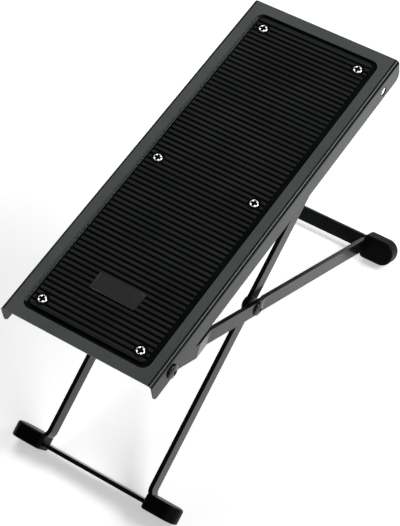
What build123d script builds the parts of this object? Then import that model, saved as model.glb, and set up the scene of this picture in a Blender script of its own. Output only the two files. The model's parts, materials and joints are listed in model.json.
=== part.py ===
from build123d import *
from math import cos, radians, sin
import os

# Folding footrest: a sheet tread with a ribbed mat, carried by two crossed frames of flat bar.
# The rear frame hangs from the tread's front pivots and runs down to the rear feet.
# The front frame crosses it on two rivets, stands on the front feet and carries the lock rod.
# X runs across the tread, Y from front to rear, Z up. The origin is on the floor, in the middle.

# Tread plate
tread_width = 111.4
tread_length = 286.5
tread_tilt_angle = 6.9
sheet = 1.0
bend_radius = 3.0
flange_depth = 16.0
flange_corner_front = 3.5
flange_corner_rear = 5.5
rim_side = 9.6
rim_front = 8.0
rim_rear = 8.6
recess_corner = 5.5
recess_depth = 1.5
recess_wall_angle = 30.0
pivot_inset = 20.0
pivot_drop = 10.0
spare_hole_radius = 3.0

# Mat, badge and their screws
mat_gap_side = 3.2
mat_gap_end = 3.0
mat_corner = 3.2
mat_rise = 0.7
rib_count = 68
groove_width = 1.4
groove_depth = 0.9
land_radius = 4.75
screw_from_mat_side = 6.7
screw_from_mat_end = 7.5
screw_shift = 1.2
screw_radius = 1.5
screw_head_radius = 3.0
screw_dome = 0.7
screw_slot_width = 1.9
screw_slot_length = 5.2
screw_slot_depth = 1.1
screw_tail = 0.8
nut_radius = 3.1
nut_height = 2.4
badge_width = 34.0
badge_length = 13.0
badge_from_mat_front = 34.0
badge_rise = 0.2
badge_corner = 1.0

# Flat bar of both frames
bar_width = 10.4
bar_thickness = 3.0
front_foot_bend = 6.0
rear_foot_bend = 3.0

# Rear frame: distances along the leg are counted from the tread pivot
rear_leg_angle = 27.9
pivot_spacing = 121.0
rear_leg_inset = 8.4
kink_step = 0.6
kink_start = 127.8
kink_length = 2.0
joggle_start = 36.0
joggle_length = 21.0
joggle_radius = 4.0

# Front frame: distances along the leg are counted from the cross pivot
front_leg_angle = 33.2
front_bar_distance = 142.7
rod_depth = 11.7

# Crossbars and rubber feet
crossbar_width = 11.0
crossbar_corner = 2.0
stub_rivet_radius = 2.0
foot_length = 24.6
foot_width = 18.0
front_foot_above_bar = 5.0
rear_foot_above_bar = 5.6
foot_below_bar = 5.9
foot_end_radius = 8.5
foot_inner_radius = 3.0
foot_edge = 1.5
foot_wall = 4.0
foot_from_leg_inner = 1.6
foot_flat = 0.4

# Rivets, spacers, lock rod and racks
rivet_radius = 3.0
rivet_head_radius = 5.0
rivet_head_height = 2.0
rivet_tail_radius = 4.5
rivet_tail_height = 1.5
washer_radius = 5.5
washer_thickness = 1.6
spacer_radius = 5.8
spacer_thickness = 2.3
rod_radius = 3.0
rod_overhang = 3.4
clip_radius = 5.0
clip_thickness = 1.5
rack_from_nut = 4.4
rack_sheet = 1.5
rack_foot = 10.0
rack_depth = 3.9
rack_end = 4.0
notch_count = 5
notch_pitch = 10.0
notch_radius = 3.2
notch_bite = 2.4
rest_notch_from_rear = 1

# Clearances, the overrun of every cut, and the turn that points the front legs' plane at their feet
half_turn = 180.0
pin_fit = 0.05
side_play = 0.1
foot_fit = 0.1
overrun = 1.0

# Heights and places that follow from the sizes above. Both frames stand on their feet's lower edges.
foot_core = foot_width / 2 - foot_edge
front_sin, front_cos = sin(radians(front_leg_angle)), cos(radians(front_leg_angle))
rear_sin, rear_cos = sin(radians(rear_leg_angle)), cos(radians(rear_leg_angle))
tread_sin, tread_cos = sin(radians(tread_tilt_angle)), cos(radians(tread_tilt_angle))
front_core = front_bar_distance + foot_below_bar - foot_edge
cross_height = front_core * front_sin + foot_core * front_cos + foot_edge - foot_flat
pivot_height = cross_height + pivot_spacing * rear_sin
rear_core = (pivot_height + foot_flat - foot_edge - foot_core * rear_cos) / rear_sin
rear_bar_distance = rear_core + foot_edge - foot_below_bar

# The rod lies on the front legs where they come within rod_depth of the tread's top
rear_opening = radians(rear_leg_angle + tread_tilt_angle)
front_opening = radians(front_leg_angle - tread_tilt_angle)
rod_distance = (pivot_drop + pivot_spacing * sin(rear_opening) - rod_depth) / sin(front_opening)

# How far the object reaches in front of and behind the cross pivot, to put the origin in the middle
pivot_ahead = pivot_spacing * rear_cos
edge_ahead = pivot_ahead + pivot_inset * tread_cos + pivot_drop * tread_sin
foot_ahead = front_core * front_cos + foot_core * front_sin + foot_edge
foot_behind = rear_core * rear_cos + foot_core * rear_sin + foot_edge - pivot_ahead
corner_along = tread_length - flange_corner_rear
corner_down = flange_depth - flange_corner_rear
edge_behind = corner_along * tread_cos + corner_down * tread_sin + flange_corner_rear - edge_ahead
cross_y = (max(edge_ahead, foot_ahead) - max(edge_behind, foot_behind)) / 2


def tilted(point, angle):
    """A plane through a point: X across, Y along a part that rises to the rear by angle, Z square to it."""
    return Plane(origin=point, x_dir=(1, 0, 0), z_dir=(0, -sin(radians(angle)), cos(radians(angle))))


def moved(plane, across=0.0, along=0.0, up=0.0):
    """The same plane with its origin moved, in its own directions."""
    return Plane(origin=plane.from_local_coords((across, along, up)), x_dir=plane.x_dir, z_dir=plane.z_dir)


def side_of(plane):
    """The plane seen from the side: X along the part, Y square to it, Z across the object."""
    return Plane(origin=plane.origin, x_dir=plane.y_dir, z_dir=(1, 0, 0))


def end_of(plane):
    """The plane seen from its end: X across, Z along the part. Its Y points to the part's underside."""
    return Plane(origin=plane.origin, x_dir=(1, 0, 0), z_dir=plane.y_dir)


front_plane = tilted((0, cross_y, cross_height), half_turn + front_leg_angle)
rear_plane = moved(tilted((0, cross_y, cross_height), -rear_leg_angle), along=-pivot_spacing)
tread_plane = moved(tilted(rear_plane.origin, tread_tilt_angle), along=-pivot_inset, up=pivot_drop)

# Tread and mat
recess_width = tread_width - 2 * rim_side
recess_length = tread_length - rim_front - rim_rear
mat_width = recess_width - 2 * mat_gap_side
mat_length = recess_length - 2 * mat_gap_end
tray_depth = recess_depth + sheet
recess_middle = moved(tread_plane, along=rim_front + recess_length / 2)
mat_top = moved(recess_middle, up=mat_rise)
screw_middle = moved(recess_middle, along=-screw_shift)
screw_top = moved(screw_middle, up=mat_rise)
screw_span = mat_width - 2 * screw_from_mat_side
screw_pitch = (mat_length - 2 * screw_from_mat_end) / 2
mat_thickness = recess_depth + mat_rise

with BuildPart() as tread_plate:
    with BuildSketch(end_of(tread_plane)):
        with BuildLine():
            FilletPolyline(
                (-tread_width / 2, flange_depth),
                (-tread_width / 2, 0),
                (tread_width / 2, 0),
                (tread_width / 2, flange_depth),
                radius=bend_radius,
            )
            offset(amount=sheet, side=Side.LEFT)
        make_face()
    extrude(amount=tread_length)
    flange_ends = tread_plate.edges().filter_by(Axis.X).filter_by(lambda edge: edge.length < 2 * sheet)
    fillet(flange_ends.group_by(Axis.Y)[0], flange_corner_front)
    fillet(flange_ends.group_by(Axis.Y)[-1], flange_corner_rear)
    with BuildSketch(recess_middle):
        RectangleRounded(recess_width + sheet, recess_length + sheet, recess_corner + sheet / 2)
    extrude(amount=-tray_depth)
    with BuildSketch(recess_middle):
        RectangleRounded(recess_width, recess_length, recess_corner)
    extrude(amount=-recess_depth, taper=recess_wall_angle, mode=Mode.SUBTRACT)
    with BuildSketch(side_of(tread_plane)):
        with Locations((pivot_inset, -pivot_drop)):
            Circle(rivet_radius + pin_fit)
        with Locations((tread_length - pivot_inset, -pivot_drop)):
            Circle(spare_hole_radius)
    extrude(amount=tread_width, both=True, mode=Mode.SUBTRACT)
    with BuildSketch(screw_middle):
        with GridLocations(screw_span, screw_pitch, 2, 3):
            Circle(screw_radius + foot_fit)
    extrude(amount=-flange_depth, mode=Mode.SUBTRACT)

with BuildPart() as tread_mat:
    with BuildSketch(mat_top):
        RectangleRounded(mat_width, mat_length, mat_corner)
    extrude(amount=-mat_thickness)
    with BuildSketch(side_of(mat_top)):
        with GridLocations(mat_length / rib_count, 0, rib_count - 1, 1):
            Rectangle(groove_width, 2 * groove_depth)
    extrude(amount=mat_width, both=True, mode=Mode.SUBTRACT)
    with BuildSketch(screw_top):
        with GridLocations(screw_span, screw_pitch, 2, 3):
            Circle(land_radius)
    extrude(amount=-mat_thickness)
    with BuildSketch(moved(mat_top, along=badge_from_mat_front - mat_length / 2)):
        RectangleRounded(badge_width + 2 * foot_fit, badge_length + 2 * foot_fit, badge_corner)
    extrude(amount=-groove_depth, mode=Mode.SUBTRACT)
    with Locations(screw_top):
        with GridLocations(screw_span, screw_pitch, 2, 3):
            CounterSinkHole(screw_radius + foot_fit, screw_head_radius + foot_fit)

with BuildPart() as badge_plate:
    with BuildSketch(moved(mat_top, along=badge_from_mat_front - mat_length / 2, up=-groove_depth)):
        RectangleRounded(badge_width, badge_length, badge_corner)
    extrude(amount=groove_depth + badge_rise)
    fillet(badge_plate.faces().sort_by(Axis.Z)[-1].edges(), badge_rise / 2)

screw_length = mat_thickness + sheet + nut_height + screw_tail
with BuildPart() as one_screw:
    with BuildSketch(Plane.XZ) as screw_outline:
        with BuildLine():
            Polyline(
                (0, screw_dome),
                (0, -screw_length),
                (screw_radius, -screw_length),
                (screw_radius, screw_radius - screw_head_radius),
                (screw_head_radius, 0),
            )
            SagittaArc((screw_head_radius, 0), (0, screw_dome), screw_dome / 4)
        make_face()
    revolve(axis=Axis.Z)
    with BuildSketch(Plane.XY.offset(screw_dome)):
        Rectangle(screw_slot_width, screw_slot_length)
        Rectangle(screw_slot_length, screw_slot_width)
    extrude(amount=-screw_slot_depth, mode=Mode.SUBTRACT)

with BuildPart(screw_top) as mat_screws:
    with GridLocations(screw_span, screw_pitch, 2, 3):
        add(one_screw.part)

with BuildPart() as mat_nuts:
    with BuildSketch(moved(screw_middle, up=-tray_depth)):
        with GridLocations(screw_span, screw_pitch, 2, 3):
            RegularPolygon(nut_radius, 6)
            Circle(screw_radius + pin_fit, mode=Mode.SUBTRACT)
    extrude(amount=-nut_height)


def bar_strip(plane, outline, radii, pivot_end, foot_end, holes, stub_hole):
    """One bent leg of flat bar. Its outline is the outer face as (across, along), its pivot end is round."""
    with BuildPart() as strip:
        with BuildSketch(moved(plane, up=-bar_width / 2)):
            with BuildLine():
                FilletPolyline(*outline, radius=radii)
                offset(amount=bar_thickness, side=Side.LEFT)
            make_face()
        extrude(amount=bar_width)
        with BuildSketch(side_of(plane)):
            with Locations(((pivot_end + foot_end) / 2, 0)):
                Rectangle(abs(foot_end - pivot_end), bar_width)
            with Locations((pivot_end, 0)):
                Circle(bar_width / 2)
            with Locations(*[(hole, 0) for hole in holes]):
                Circle(rivet_radius + pin_fit, mode=Mode.SUBTRACT)
        extrude(amount=tread_width, mode=Mode.INTERSECT)
        with BuildSketch(end_of(moved(plane, along=foot_end))):
            with Locations((stub_hole, 0)):
                Circle(stub_rivet_radius + pin_fit)
        extrude(amount=2 * bar_thickness, both=True, mode=Mode.SUBTRACT)
    return strip


def crossbar(plane, near_face, reach, stub_hole):
    """The flat bar between two feet. It starts at near_face along the leg and is drilled for its rivets."""
    with BuildPart() as bar:
        with BuildSketch(end_of(moved(plane, along=near_face))):
            RectangleRounded(2 * reach, crossbar_width, crossbar_corner)
            with GridLocations(2 * stub_hole, 0, 2, 1):
                Circle(stub_rivet_radius + pin_fit, mode=Mode.SUBTRACT)
        extrude(amount=bar_thickness)
    return bar


def stub_rivets(plane, stub_face, stub_hole):
    """The two flush rivets that hold the leg's bent ends to their crossbar, inside the feet."""
    with BuildPart() as pair:
        with BuildSketch(end_of(moved(plane, along=stub_face))):
            with GridLocations(2 * stub_hole, 0, 2, 1):
                Circle(stub_rivet_radius)
        extrude(amount=2 * bar_thickness)
    return pair


def rubber_foot(plane, bar_distance, above, inner, leg_face, reach, bend):
    """A rubber foot pushed over one end of a crossbar. It is cut flat where it meets the floor."""
    top = bar_distance - above
    stub_face = bar_distance - bar_thickness
    with BuildPart() as foot:
        with BuildSketch(end_of(moved(plane, along=top))) as outline:
            with Locations((inner, 0)):
                Rectangle(foot_length, foot_width, align=(Align.MIN, Align.CENTER))
            fillet(outline.vertices().group_by(Axis.X)[-1], foot_end_radius)
            fillet(outline.vertices().group_by(Axis.X)[0], foot_inner_radius)
        extrude(amount=above + foot_below_bar)
        along = Axis(plane.origin, plane.y_dir)
        rims = foot.faces().filter_by(along).edges()
        fillet(rims, foot_edge)
        with BuildSketch(moved(plane, up=-crossbar_width / 2 - foot_fit)):
            with BuildLine():
                FilletPolyline(
                    (leg_face + foot_fit, min(top, stub_face - bend) - overrun),
                    (leg_face + foot_fit, stub_face - foot_fit),
                    (reach + foot_fit, stub_face - foot_fit),
                    radius=bend - foot_fit,
                )
                offset(amount=bar_thickness + 2 * foot_fit, side=Side.LEFT)
            make_face()
            with Locations((reach + foot_fit, stub_face + bar_thickness)):
                slot = 2 * (bar_thickness + foot_fit)
                Rectangle(reach + foot_fit - inner + overrun, slot, align=(Align.MAX, Align.CENTER))
        extrude(amount=crossbar_width + 2 * foot_fit, mode=Mode.SUBTRACT)
        split(bisect_by=Plane.XY, keep=Keep.TOP)
    return foot


def rivet(plane, along, head_face, tail_face):
    """A rivet across a joint: a domed head on the outside, a shank, and a flat tail on the inside."""
    with BuildPart() as pin:
        with BuildSketch(moved(plane, along=along)) as profile:
            with BuildLine():
                Polyline(
                    (head_face, rivet_head_radius),
                    (head_face, rivet_radius),
                    (tail_face, rivet_radius),
                    (tail_face, rivet_tail_radius),
                    (tail_face - rivet_tail_height, rivet_tail_radius),
                    (tail_face - rivet_tail_height, 0),
                    (head_face + rivet_head_height, 0),
                )
                dome = (rivet_head_radius**2 + rivet_head_height**2) / (2 * rivet_head_height)
                RadiusArc((head_face + rivet_head_height, 0), (head_face, rivet_head_radius), -dome)
            make_face()
        revolve(axis=Axis(moved(plane, along=along).origin, (1, 0, 0)))
    return pin


def ring(plane, along, start, thickness, outer_radius, inner_radius):
    """A flat ring that lies across the object, from start outwards."""
    with BuildPart() as disc:
        with BuildSketch(moved(side_of(plane), across=along, up=start)):
            Circle(outer_radius)
            Circle(inner_radius, mode=Mode.SUBTRACT)
        extrude(amount=thickness)
    return disc


def mirrored(piece):
    """The same piece on the left side."""
    with BuildPart() as other:
        mirror(piece.part, about=Plane.YZ)
    return other


# Rear frame
rear_pivot_face = tread_width / 2 - sheet - washer_thickness - 2 * side_play
rear_leg_face = tread_width / 2 - rear_leg_inset
rear_front_face = rear_leg_face + kink_step
rear_stub = rear_bar_distance - bar_thickness
rear_foot_inner = rear_leg_face - bar_thickness + foot_from_leg_inner
rear_reach = rear_foot_inner + foot_length - foot_wall
rear_stub_hole = (rear_leg_face + rear_foot_bend + rear_reach) / 2
rear_outline = (
    (rear_pivot_face, -bar_width / 2),
    (rear_pivot_face, joggle_start),
    (rear_front_face, joggle_start + joggle_length),
    (rear_front_face, kink_start),
    (rear_leg_face, kink_start + kink_length),
    (rear_leg_face, rear_stub),
    (rear_reach, rear_stub),
)
rear_radii = (joggle_radius, joggle_radius, joggle_radius, joggle_radius, rear_foot_bend)
rear_leg_right = bar_strip(
    rear_plane, rear_outline, rear_radii, 0, rear_bar_distance, (0, pivot_spacing), rear_stub_hole
)
rear_leg_left = mirrored(rear_leg_right)
rear_crossbar = crossbar(rear_plane, rear_bar_distance, rear_reach, rear_stub_hole)
rear_crossbar_rivets = stub_rivets(rear_plane, rear_stub, rear_stub_hole)
rear_foot_right = rubber_foot(
    rear_plane,
    rear_bar_distance,
    rear_foot_above_bar,
    rear_foot_inner,
    rear_leg_face,
    rear_reach,
    rear_foot_bend,
)
rear_foot_left = mirrored(rear_foot_right)

# Front frame
front_leg_face = rear_front_face - bar_thickness - spacer_thickness - 2 * side_play
front_stub = front_bar_distance - bar_thickness
front_foot_inner = front_leg_face - bar_thickness + foot_from_leg_inner
front_reach = front_foot_inner + foot_length - foot_wall
front_stub_hole = (front_leg_face + front_foot_bend + front_reach) / 2
front_outline = (
    (front_leg_face, -rod_distance - bar_width / 2),
    (front_leg_face, front_stub),
    (front_reach, front_stub),
)
front_leg_right = bar_strip(
    front_plane,
    front_outline,
    (front_foot_bend,),
    -rod_distance,
    front_bar_distance,
    (0, -rod_distance),
    front_stub_hole,
)
front_leg_left = mirrored(front_leg_right)
front_crossbar = crossbar(front_plane, front_bar_distance, front_reach, front_stub_hole)
front_crossbar_rivets = stub_rivets(front_plane, front_stub, front_stub_hole)
front_foot_right = rubber_foot(
    front_plane,
    front_bar_distance,
    front_foot_above_bar,
    front_foot_inner,
    front_leg_face,
    front_reach,
    front_foot_bend,
)
front_foot_left = mirrored(front_foot_right)

# Lock rod with a push-on clip outside each front leg
with BuildPart() as lock_rod:
    with BuildSketch(moved(side_of(front_plane), across=-rod_distance)):
        Circle(rod_radius)
    extrude(amount=front_leg_face + rod_overhang, both=True)
    chamfer(lock_rod.edges().filter_by(GeomType.CIRCLE), rod_radius / 6)
rod_clip_right = ring(front_plane, -rod_distance, front_leg_face, clip_thickness, clip_radius, rod_radius)
rod_clip_left = mirrored(rod_clip_right)

# Pivots: the tread on the rear legs, and the two frames where they cross
tread_washer_right = ring(
    rear_plane, 0, rear_pivot_face + side_play, washer_thickness, washer_radius, rivet_radius
)
tread_washer_left = mirrored(tread_washer_right)
tread_rivet_right = rivet(rear_plane, 0, tread_width / 2 + side_play, rear_pivot_face - bar_thickness - side_play)
tread_rivet_left = mirrored(tread_rivet_right)
cross_spacer_right = ring(
    front_plane,
    0,
    front_leg_face + side_play,
    spacer_thickness,
    spacer_radius,
    rivet_radius + pin_fit,
)
cross_spacer_left = mirrored(cross_spacer_right)
cross_rivet_right = rivet(front_plane, 0, rear_front_face, front_leg_face - bar_thickness - side_play)
cross_rivet_left = mirrored(cross_rivet_right)

# Height racks: notched angle strips under the tray. The lock rod rests below the second notch from the rear.
rod_on_tread = tread_plane.to_local_coords(front_plane.from_local_coords((0, -rod_distance, 0)))
rack_rear = rod_on_tread.Y + rest_notch_from_rear * notch_pitch + notch_radius + rack_end
rack_face = screw_span / 2 - nut_radius - rack_from_nut
rack_length = (notch_count - 1) * notch_pitch + 2 * (notch_radius + rack_end)
rack_middle = moved(tread_plane, along=rack_rear - rack_length / 2, up=-tray_depth)
with BuildPart() as height_rack_right:
    with BuildSketch(moved(side_of(rack_middle), up=rack_face - rack_sheet)):
        Rectangle(rack_length, rack_depth, align=(Align.CENTER, Align.MAX))
        with Locations((0, -rack_depth - notch_radius + notch_bite)):
            with GridLocations(notch_pitch, 0, notch_count, 1):
                Circle(notch_radius, mode=Mode.SUBTRACT)
    extrude(amount=rack_sheet)
    with BuildSketch(rack_middle):
        with Locations((rack_face, 0)):
            Rectangle(rack_foot, rack_length, align=(Align.MAX, Align.CENTER))
    extrude(amount=-rack_sheet)
height_rack_left = mirrored(height_rack_right)

pieces = {
    "tread_plate": tread_plate,
    "tread_mat": tread_mat,
    "badge_plate": badge_plate,
    "mat_screws": mat_screws,
    "mat_nuts": mat_nuts,
    "height_rack_left": height_rack_left,
    "height_rack_right": height_rack_right,
    "tread_rivet_left": tread_rivet_left,
    "tread_rivet_right": tread_rivet_right,
    "tread_washer_left": tread_washer_left,
    "tread_washer_right": tread_washer_right,
    "rear_leg_left": rear_leg_left,
    "rear_leg_right": rear_leg_right,
    "rear_crossbar": rear_crossbar,
    "rear_crossbar_rivets": rear_crossbar_rivets,
    "rear_foot_left": rear_foot_left,
    "rear_foot_right": rear_foot_right,
    "cross_rivet_left": cross_rivet_left,
    "cross_rivet_right": cross_rivet_right,
    "cross_spacer_left": cross_spacer_left,
    "cross_spacer_right": cross_spacer_right,
    "front_leg_left": front_leg_left,
    "front_leg_right": front_leg_right,
    "front_crossbar": front_crossbar,
    "front_crossbar_rivets": front_crossbar_rivets,
    "front_foot_left": front_foot_left,
    "front_foot_right": front_foot_right,
    "lock_rod": lock_rod,
    "rod_clip_left": rod_clip_left,
    "rod_clip_right": rod_clip_right,
}

os.makedirs("parts", exist_ok=True)
for name, piece in pieces.items():
    piece.part.label = name
    export_step(piece.part, f"parts/{name}.step")
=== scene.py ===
import json
from math import atan2, copysign, cos, pi, radians, sin, tan
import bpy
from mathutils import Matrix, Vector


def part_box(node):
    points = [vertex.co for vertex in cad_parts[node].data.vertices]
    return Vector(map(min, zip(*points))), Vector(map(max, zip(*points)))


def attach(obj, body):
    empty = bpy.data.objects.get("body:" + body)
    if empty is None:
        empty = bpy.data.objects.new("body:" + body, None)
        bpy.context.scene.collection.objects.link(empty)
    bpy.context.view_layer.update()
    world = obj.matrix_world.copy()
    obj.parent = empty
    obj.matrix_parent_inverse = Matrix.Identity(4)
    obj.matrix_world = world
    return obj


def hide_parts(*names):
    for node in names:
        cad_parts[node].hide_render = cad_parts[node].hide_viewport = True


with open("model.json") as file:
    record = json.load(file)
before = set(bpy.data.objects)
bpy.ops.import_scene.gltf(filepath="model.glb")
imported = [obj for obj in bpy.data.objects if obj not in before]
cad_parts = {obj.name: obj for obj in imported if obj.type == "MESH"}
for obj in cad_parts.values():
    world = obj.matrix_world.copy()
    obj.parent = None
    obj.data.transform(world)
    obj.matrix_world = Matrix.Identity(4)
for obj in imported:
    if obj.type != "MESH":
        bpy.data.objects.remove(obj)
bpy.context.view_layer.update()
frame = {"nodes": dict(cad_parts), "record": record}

from types import SimpleNamespace

import bmesh
import bpy
from bmesh.types import BMEdge, BMFace, BMVert
from bpy.props import FloatProperty, FloatVectorProperty, IntProperty, PointerProperty
from mathutils import Matrix, Vector

bl_info = {
    "name": "Folding footrest",
    "version": (1, 0, 0),
    "blender": (4, 5, 0),
    "location": "View3D > Sidebar > Footrest",
    "description": "Builds a folding footrest: a sheet tread with a ribbed mat on two crossed frames of flat bar",
    "category": "Add Mesh",
}

MILLIMETRE = 0.001
MERGE = 0.002  # Vertices nearer than this are one, in millimetres
TOUCH = 0.01  # Places nearer than this are level or in line, in millimetres

# Each finish as its material's name and its slot in the record
PAINT = ("Satin black paint", "black_steel")
RIVET_PAINT = ("Worn rivet paint", "rivet_black")
MAT_RUBBER = ("Ribbed mat rubber", "mat_rubber")
FOOT_RUBBER = ("Foot rubber", "foot_rubber")
NICKEL = ("Bright nickel", "nickel")
ZINC = ("Dull zinc", "zinc")
BADGE = ("Badge lacquer", "badge_metal")
SHADED_TRAY_PAINT = "Dull tray paint"
SHADED_LAND_RUBBER = "Smooth land rubber"
FLOOR = "Studio floor"
SPECULAR = "Specular IOR Level"


# Sizes and colours


def length(name, description, default):
    """A length in metres that a user can change."""
    return FloatProperty(
        name=name, description=description, default=default, min=0.0, precision=5, unit="LENGTH", subtype="DISTANCE"
    )


def colour(name, description, default):
    return FloatVectorProperty(
        name=name, description=description, default=(*default, 1.0), size=4, min=0.0, max=1.0, subtype="COLOR"
    )


def share(name, description, default):
    return FloatProperty(name=name, description=description, default=default, min=0.0, max=1.0, subtype="FACTOR")


def angle(name, description, default):
    return FloatProperty(name=name, description=description, default=radians(default), unit="ROTATION", subtype="ANGLE")


def strength(name, description, default):
    return FloatProperty(name=name, description=description, default=default, min=0.0)


class FOOTREST_PG_tread(bpy.types.PropertyGroup):
    """The pressed sheet tread."""

    width: length("Width", "Across the tread, over both flanges", 0.1114)
    depth: length("Length", "From the tread's front edge to its rear edge", 0.2865)
    tilt: angle("Tilt", "How steeply the tread rises to the rear", 6.9)
    sheet: length("Sheet", "Thickness of the pressed sheet", 0.001)
    bend_radius: length("Bend radius", "Outside radius of the fold between top and flange", 0.003)
    flange: length("Flange depth", "From the tread's top to the flange's lower edge", 0.016)
    corner_front: length("Front flange corner", "Radius of the flange's lower front corner", 0.0035)
    corner_rear: length("Rear flange corner", "Radius of the flange's lower rear corner", 0.0055)
    rim_side: length("Side rim", "Flat rim beside the mat's recess", 0.0096)
    rim_front: length("Front rim", "Flat rim in front of the recess", 0.008)
    rim_rear: length("Rear rim", "Flat rim behind the recess", 0.0086)
    recess: length("Recess depth", "How far the mat's floor is pressed down", 0.0015)
    recess_corner: length("Recess corner", "Corner radius of the recess", 0.0055)
    recess_slope: length("Recess slope", "How far the recess wall runs inwards", 0.00087)
    recess_edge: length("Recess edge", "Rounding of the pressed edges", 0.0007)
    cut_edge: length("Cut edge", "Rounding of the sheet's cut edges under the paint", 0.0003)
    pivot_inset: length("Pivot inset", "From the front edge to the tread rivets", 0.020)
    pivot_drop: length("Pivot drop", "From the tread's top down to the tread rivets", 0.010)
    spare_hole: length("Spare hole", "Radius of the open hole near each flange's rear end", 0.003)


class FOOTREST_PG_mat(bpy.types.PropertyGroup):
    """The ribbed mat, its badge and its screws."""

    gap_side: length("Side gap", "Between the mat and the recess edge at each side", 0.0032)
    gap_end: length("End gap", "Between the mat and the recess edge at each end", 0.003)
    corner: length("Corner", "Corner radius of the mat", 0.0032)
    rise: length("Rise", "How far the mat stands above the rim", 0.0007)
    ribs: IntProperty(name="Ribs", description="Number of ribs along the mat", default=68, min=4, max=200)
    groove_width: length("Groove width", "Between two ribs", 0.0014)
    groove_depth: length("Groove depth", "From the ribs' tops to the groove floor", 0.0009)
    rib_shoulder: length("Rib shoulder", "Rounding of each rib", 0.00045)
    land: length("Land", "Radius of the smooth disc round each screw", 0.00475)
    screw_from_side: length("Screw from side", "From the mat's side to the screws", 0.0067)
    screw_from_end: length("Screw from end", "From the mat's end to the corner screws", 0.0075)
    screw_shift: length("Screw shift", "How far the screws stand in front of the mat's middle", 0.0012)
    screw_head: length("Screw head", "Radius of a screw head", 0.0030)
    screw_shank: length("Screw shank", "Radius of a screw shank", 0.0015)
    screw_dome: length("Screw dome", "Height of the domed head above the mat", 0.0007)
    cross_length: length("Cross length", "Across the head's cross recess", 0.0048)
    cross_width: length("Cross width", "Width of one arm of the cross recess", 0.0021)
    cross_depth: length("Cross depth", "Depth of the cross recess", 0.0011)
    nut_radius: length("Nut radius", "From a nut's centre to its corners", 0.0031)
    nut_height: length("Nut height", "Thickness of a nut", 0.0024)
    screw_tail: length("Screw tail", "Length of screw below its nut", 0.0008)
    badge_width: length("Badge width", "Across the badge plate", 0.034)
    badge_length: length("Badge length", "Along the badge plate", 0.013)
    badge_start: length("Badge place", "From the mat's front to the badge's middle", 0.034)
    badge_rise: length("Badge rise", "How far the badge stands above the ribs", 0.0002)
    badge_border: length("Badge border", "Width of the badge's raised border", 0.0007)


class FOOTREST_PG_bars(bpy.types.PropertyGroup):
    """Flat bar, crossbars and lock rod of both frames."""

    width: length("Bar width", "Width of the legs' flat bar", 0.0104)
    thickness: length("Bar thickness", "Thickness of the flat bar", 0.003)
    rolled_edge: length("Rolled edge", "Rounding of the flat bar's edges", 0.0004)
    front_foot_bend: length("Front foot bend", "Radius where a front leg bends into its foot", 0.006)
    rear_foot_bend: length("Rear foot bend", "Radius where a rear leg bends inside its foot", 0.003)
    bend: length("Joggle bend", "Radius of the gentle bends in the rear legs", 0.004)
    rear_pivot_face: length("Rear leg at tread", "From the middle to the leg's outer face at the tread", 0.0529)
    rear_front_face: length("Rear leg at crossing", "From the middle to the leg's outer face at the crossing", 0.0479)
    rear_leg_face: length("Rear leg at foot", "From the middle to the leg's outer face at the foot", 0.0473)
    joggle_start: length("Joggle start", "From the tread rivet to the joggle", 0.036)
    joggle_length: length("Joggle length", "Length of the joggle", 0.021)
    kink_start: length("Kink start", "From the tread rivet to the small kink", 0.1278)
    kink_length: length("Kink length", "Length of the small kink", 0.002)
    rear_bar: length("Rear crossbar", "From the tread rivet to the rear crossbar", 0.28798)
    rear_reach: length("Rear reach", "From the middle to the end of the rear crossbar", 0.0665)
    front_leg_face: length("Front leg", "From the middle to the front leg's outer face", 0.0424)
    front_bar: length("Front crossbar", "From the cross rivet to the front crossbar", 0.1427)
    front_reach: length("Front reach", "From the middle to the end of the front crossbar", 0.0616)
    crossbar_width: length("Crossbar width", "Width of the crossbars", 0.011)
    crossbar_edge: length("Crossbar edge", "Rounding of the crossbars' edges", 0.0006)


class FOOTREST_PG_feet(bpy.types.PropertyGroup):
    """The four rubber feet."""

    length: length("Length", "Across the object", 0.0246)
    width: length("Width", "Across the crossbar's width", 0.018)
    front_above: length("Front foot top", "From the front crossbar's face to the foot's top", 0.0050)
    rear_above: length("Rear foot top", "From the rear crossbar's face to the foot's top", 0.0056)
    below: length("Below the bar", "From the crossbar's face to the foot's underside", 0.0059)
    end_radius: length("End radius", "Rounding of the foot's outer end", 0.0085)
    inner_radius: length("Inner radius", "Rounding of the foot's inner upright edges", 0.003)
    edge: length("Edge", "Rounding of the foot's rims", 0.0015)
    wall: length("Wall", "Rubber beyond the end of the crossbar", 0.004)


class FOOTREST_PG_fasteners(bpy.types.PropertyGroup):
    """Rivets, washers, spacers, rod and clips."""

    head: length("Head radius", "Radius of a rivet head", 0.005)
    head_height: length("Head height", "Height of a rivet head", 0.002)
    dimple: length("Dimple", "Radius of the hollow in a rivet head", 0.0017)
    dimple_depth: length("Dimple depth", "Depth of the hollow in a rivet head", 0.0008)
    shank: length("Shank", "Radius of a rivet shank", 0.003)
    tail: length("Tail radius", "Radius of a rivet's inner end", 0.0045)
    tail_height: length("Tail height", "Thickness of a rivet's inner end", 0.0015)
    play: length("Play", "Side play beside each moving piece", 0.0001)
    washer: length("Washer radius", "Outside radius of the tread's washers", 0.0055)
    washer_thickness: length("Washer thickness", "Thickness of the tread's washers", 0.0016)
    spacer: length("Spacer radius", "Outside radius of the spacers between the legs", 0.0058)
    spacer_thickness: length("Spacer thickness", "Thickness of the spacers", 0.0023)
    rod: length("Rod radius", "Radius of the lock rod", 0.003)
    rod_overhang: length("Rod overhang", "How far the rod stands out of the front legs", 0.0034)
    clip: length("Clip radius", "Outside radius of the rod's clips", 0.005)
    clip_thickness: length("Clip thickness", "Thickness of the rod's clips", 0.0015)


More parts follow.
